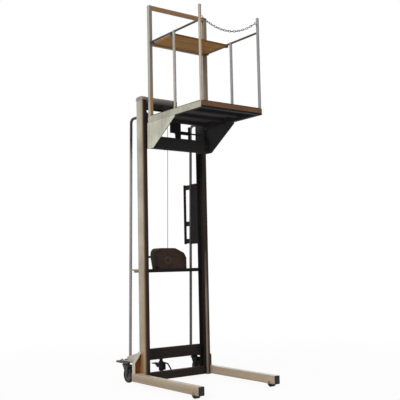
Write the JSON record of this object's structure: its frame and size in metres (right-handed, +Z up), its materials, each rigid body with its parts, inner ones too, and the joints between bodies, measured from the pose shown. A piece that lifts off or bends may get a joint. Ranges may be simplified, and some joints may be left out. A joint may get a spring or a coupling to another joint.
{
  "type": "manual lifting platform",
  "caption": "Hand-winched mast lift on straddle legs with casters: a guarded standing deck with a tool tray rides up channel uprights on a wire rope.",
  "frame": {"origin": "on the floor under the middle of the overall bounding box, platform stored raised", "axes": "+Z up, -Y towards the open front of the platform, +X to the right seen from the front"},
  "size_m": [0.93, 1.387, 3.674],
  "materials": {
    "cream_paint": "semi-gloss enamel",
    "dark_paint": "semi-gloss enamel",
    "hood_paint": "semi-gloss enamel",
    "tube_paint": "satin enamel",
    "guard_paint": "semi-gloss enamel",
    "deck_paint": "worn non-slip paint",
    "plated_steel": "zinc plated",
    "roller_steel": "turned steel",
    "sheave_iron": "machined casting",
    "wire_rope": "galvanised strands",
    "black_rubber": "matte",
    "black_plastic": "matte",
    "tray_wood": "varnished board"
  },
  "bodies": {
    "base": {"leg_left": "cream_paint", "leg_right": "cream_paint", "leg_end_caps": "black_plastic", "base_cross_tube": "dark_paint", "base_top_rail": "dark_paint", "leg_bracket_left": "cream_paint", "leg_bracket_right": "cream_paint", "caster_plate_left": "dark_paint", "caster_plate_right": "dark_paint", "base_fasteners": "plated_steel", "floor_lock_body": "dark_paint", "mast_upright_left": "cream_paint", "mast_upright_right": "cream_paint", "mast_crosshead": "dark_paint", "sheave_axle": "plated_steel", "rear_tube_left": "tube_paint", "rear_tube_right": "tube_paint", "grip_handle": "dark_paint", "winch_shelf": "dark_paint", "winch_frame": "dark_paint", "winch_hood": "hood_paint", "rope_run": "wire_rope", "rope_fall": "wire_rope"},
    "platform": {"carriage_beam": "dark_paint", "platform_bracket_left": "cream_paint", "platform_bracket_right": "cream_paint", "roller_plate_left": "dark_paint", "roller_plate_right": "dark_paint", "rope_anchor": "dark_paint", "deck_frame": "cream_paint", "deck_plate": "deck_paint", "rear_guard": "guard_paint", "side_guard_left": "guard_paint", "side_guard_right": "guard_paint", "tray_board": "tray_wood", "safety_chain": "plated_steel", "chain_hook": "plated_steel"},
    "drum": {"winch_drum": "dark_paint", "drum_gear": "plated_steel", "rope_winding": "wire_rope"},
    "pinion": {"pinion_shaft": "plated_steel", "crank_arm": "hood_paint"},
    "crank_grip": {"crank_grip": "black_plastic"},
    "pawl": {"ratchet_pawl": "plated_steel"},
    "sheave": {"top_sheave": "sheave_iron"},
    "lock_plunger": {"floor_lock_plunger": "black_rubber"},
    "lock_pedal": {"floor_lock_pedal": "plated_steel"},
    "safety_catch": {"safety_catch": "plated_steel"},
    "front_roller_left": {"front_roller_left": "black_rubber"},
    "caster_fork_left": {"caster_fork_left": "plated_steel"},
    "caster_wheel_left": {"caster_wheel_left": "black_rubber"},
    "caster_lever_left": {"caster_lever_left": "plated_steel"},
    "guide_roller_upper_left": {"guide_roller_upper_left": "roller_steel"},
    "guide_roller_lower_left": {"guide_roller_lower_left": "roller_steel"},
    "front_roller_right": {"front_roller_right": "black_rubber"},
    "caster_fork_right": {"caster_fork_right": "plated_steel"},
    "caster_wheel_right": {"caster_wheel_right": "black_rubber"},
    "caster_lever_right": {"caster_lever_right": "plated_steel"},
    "guide_roller_upper_right": {"guide_roller_upper_right": "roller_steel"},
    "guide_roller_lower_right": {"guide_roller_lower_right": "roller_steel"}
  },
  "joints": [
    {"name": "platform_lift", "type": "slide", "parent": "base", "child": "platform", "axis": [0, 0, 1], "range_m": [-2.15, 0], "deforming": ["rope_fall"]},
    {"name": "drum_spin", "type": "hinge", "parent": "base", "child": "drum", "pos_m": [-0.05, 0.3835, 1.198], "axis": [0, 1, 0], "range_deg": [-2460, 0]},
    {"name": "crank_turn", "type": "hinge", "parent": "base", "child": "pinion", "pos_m": [0.06141, 0.4385, 1.21366], "axis": [0, 1, 0], "range_deg": [0, 9830]},
    {"name": "crank_grip_spin", "type": "hinge", "parent": "pinion", "child": "crank_grip", "pos_m": [-0.18859, 0.5495, 1.21366], "axis": [0, 1, 0], "continuous": true},
    {"name": "pawl_swing", "type": "hinge", "parent": "base", "child": "pawl", "pos_m": [0.06941, 0.4435, 1.25966], "axis": [0, 1, 0], "range_deg": [-20, 0]},
    {"name": "sheave_spin", "type": "hinge", "parent": "base", "child": "sheave", "pos_m": [0, 0.3065, 2.705], "axis": [1, 0, 0], "range_deg": [0, 2060]},
    {"name": "floor_lock_slide", "type": "slide", "parent": "base", "child": "lock_plunger", "axis": [0, 0, 1], "range_m": [-0.015, 0]},
    {"name": "lock_pedal_swing", "type": "hinge", "parent": "base", "child": "lock_pedal", "pos_m": [0, 0.5225, 0.122], "axis": [1, 0, 0], "range_deg": [-25.5, 0]},
    {"name": "safety_catch_turn", "type": "hinge", "parent": "platform", "child": "safety_catch", "pos_m": [0.14, 0.2685, 2.462], "axis": [1, 0, 0], "range_deg": [0, 25]},
    {"name": "guide_roller_upper_left_spin", "type": "hinge", "parent": "platform", "child": "guide_roller_upper_left", "pos_m": [-0.359, 0.296, 2.582], "axis": [1, 0, 0], "range_deg": [-2420, 0]},
    {"name": "guide_roller_lower_left_spin", "type": "hinge", "parent": "platform", "child": "guide_roller_lower_left", "pos_m": [-0.359, 0.296, 2.322], "axis": [1, 0, 0], "range_deg": [0, 2420]},
    {"name": "caster_swivel_left", "type": "hinge", "parent": "base", "child": "caster_fork_left", "pos_m": [-0.415, 0.5535, 0.188], "axis": [0, 0, 1], "continuous": true},
    {"name": "caster_wheel_left_spin", "type": "hinge", "parent": "caster_fork_left", "child": "caster_wheel_left", "pos_m": [-0.415, 0.5035, 0.075], "axis": [1, 0, 0], "continuous": true},
    {"name": "caster_lever_left_press", "type": "hinge", "parent": "base", "child": "caster_lever_left", "pos_m": [-0.456, 0.4535, 0.1945], "axis": [1, 0, 0], "range_deg": [-5, 0]},
    {"name": "front_roller_left_spin", "type": "hinge", "parent": "base", "child": "front_roller_left", "pos_m": [-0.431, -0.6165, 0.04], "axis": [1, 0, 0], "continuous": true},
    {"name": "guide_roller_upper_right_spin", "type": "hinge", "parent": "platform", "child": "guide_roller_upper_right", "pos_m": [0.359, 0.296, 2.582], "axis": [1, 0, 0], "range_deg": [-2420, 0]},
    {"name": "guide_roller_lower_right_spin", "type": "hinge", "parent": "platform", "child": "guide_roller_lower_right", "pos_m": [0.359, 0.296, 2.322], "axis": [1, 0, 0], "range_deg": [0, 2420]},
    {"name": "caster_swivel_right", "type": "hinge", "parent": "base", "child": "caster_fork_right", "pos_m": [0.415, 0.5535, 0.188], "axis": [0, 0, 1], "continuous": true},
    {"name": "caster_wheel_right_spin", "type": "hinge", "parent": "caster_fork_right", "child": "caster_wheel_right", "pos_m": [0.415, 0.5035, 0.075], "axis": [1, 0, 0], "continuous": true},
    {"name": "caster_lever_right_press", "type": "hinge", "parent": "base", "child": "caster_lever_right", "pos_m": [0.456, 0.4535, 0.1945], "axis": [1, 0, 0], "range_deg": [-5, 0]},
    {"name": "front_roller_right_spin", "type": "hinge", "parent": "base", "child": "front_roller_right", "pos_m": [0.431, -0.6165, 0.04], "axis": [1, 0, 0], "continuous": true}
  ],
  "couplings": [
    {"joint": "drum_spin", "follows": "platform_lift", "rad_per_m": 19.92},
    {"joint": "crank_turn", "follows": "platform_lift", "rad_per_m": -79.681},
    {"joint": "sheave_spin", "follows": "platform_lift", "rad_per_m": -16.667},
    {"joint": "lock_pedal_swing", "follows": "floor_lock_slide", "rad_per_m": 28.986},
    {"joint": "guide_roller_upper_left_spin", "follows": "platform_lift", "rad_per_m": 19.569},
    {"joint": "guide_roller_lower_left_spin", "follows": "platform_lift", "rad_per_m": -19.569},
    {"joint": "guide_roller_upper_right_spin", "follows": "platform_lift", "rad_per_m": 19.569},
    {"joint": "guide_roller_lower_right_spin", "follows": "platform_lift", "rad_per_m": -19.569}
  ]
}
